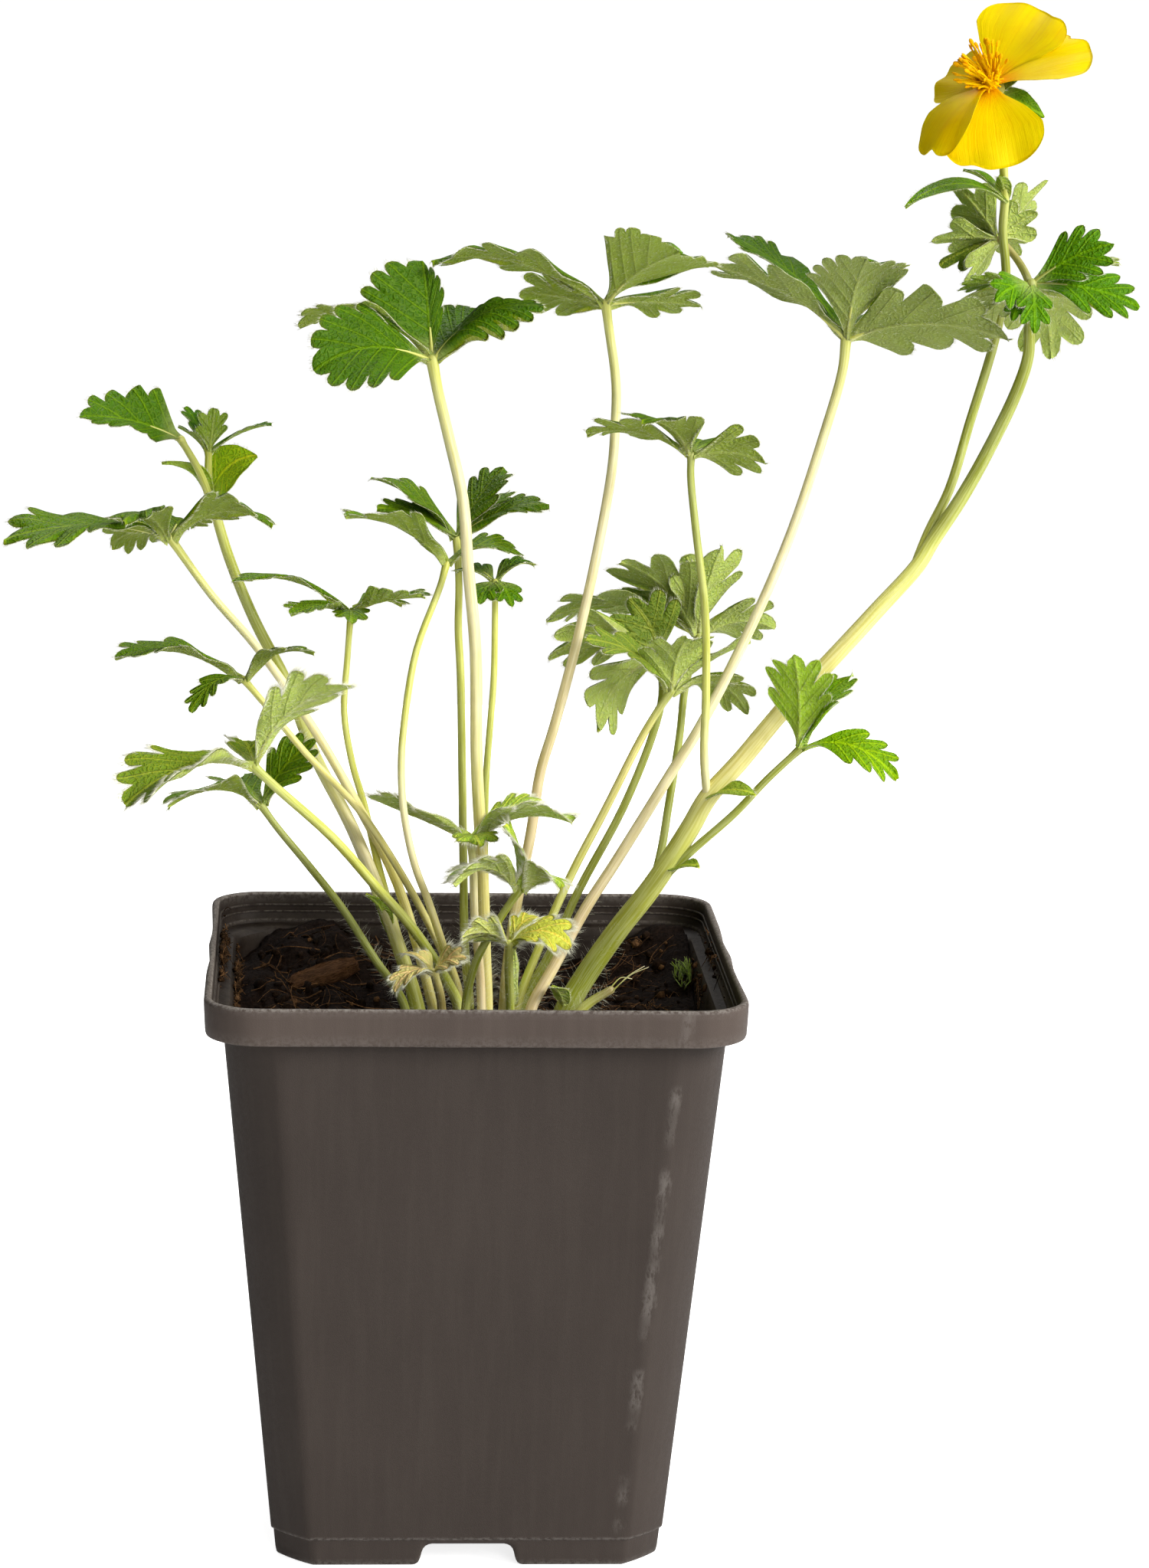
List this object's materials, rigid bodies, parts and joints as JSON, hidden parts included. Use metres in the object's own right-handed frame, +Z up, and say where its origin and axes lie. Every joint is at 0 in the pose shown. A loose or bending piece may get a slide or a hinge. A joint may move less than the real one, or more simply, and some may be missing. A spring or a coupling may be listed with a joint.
{
  "type": "potted plant",
  "caption": "Young leafy plant with palm-shaped toothed leaves on long stalks and a single open flower, growing in soil in a square tapered nursery pot.",
  "frame": {"origin": "centre of the plan box at the level of the pot's feet", "axes": "+Z up, -Y towards the viewer's side of the pot, where the flower faces, +X to the viewer's right"},
  "size_m": [0.1898, 0.0906, 0.2624],
  "materials": {
    "pot": "matt recycled plastic, scuffed",
    "soil": "damp crumbly potting mix of peat and bark",
    "bark": "rough weathered bark",
    "leaf": "soft matt leaf, finely haired, with sunken veins",
    "leaf_yellow": "ageing yellow leaf",
    "leaf_dry": "dry papery leaf",
    "stem": "smooth green stem with fine hairs",
    "petal": "satin yellow petal",
    "stamen": "dusty orange pollen"
  },
  "bodies": {
    "root": {"pot": "pot", "soil": "soil", "bark_chip": "bark", "leaf_far_left": "leaf", "leaf_left_mid": "leaf", "leaf_left_low": "leaf", "leaf_front_left": "leaf", "leaf_low_left": "leaf", "leaf_dark": "leaf", "leaf_top_centre": "leaf", "leaf_top_right": "leaf", "leaf_centre_lower": "leaf", "leaf_centre_mid": "leaf", "leaf_low_centre": "leaf", "leaf_small_centre": "leaf", "leaf_yellow": "leaf_yellow", "leaf_dry": "leaf_dry", "leaf_centre_back": "leaf", "leaf_centre_left": "leaf", "leaf_hidden": "leaf", "left_shoot": "leaf", "flowering_stem": "leaf", "stem_stub": "stem", "petals": "petal", "stamens": "stamen"}
  },
  "joints": []
}
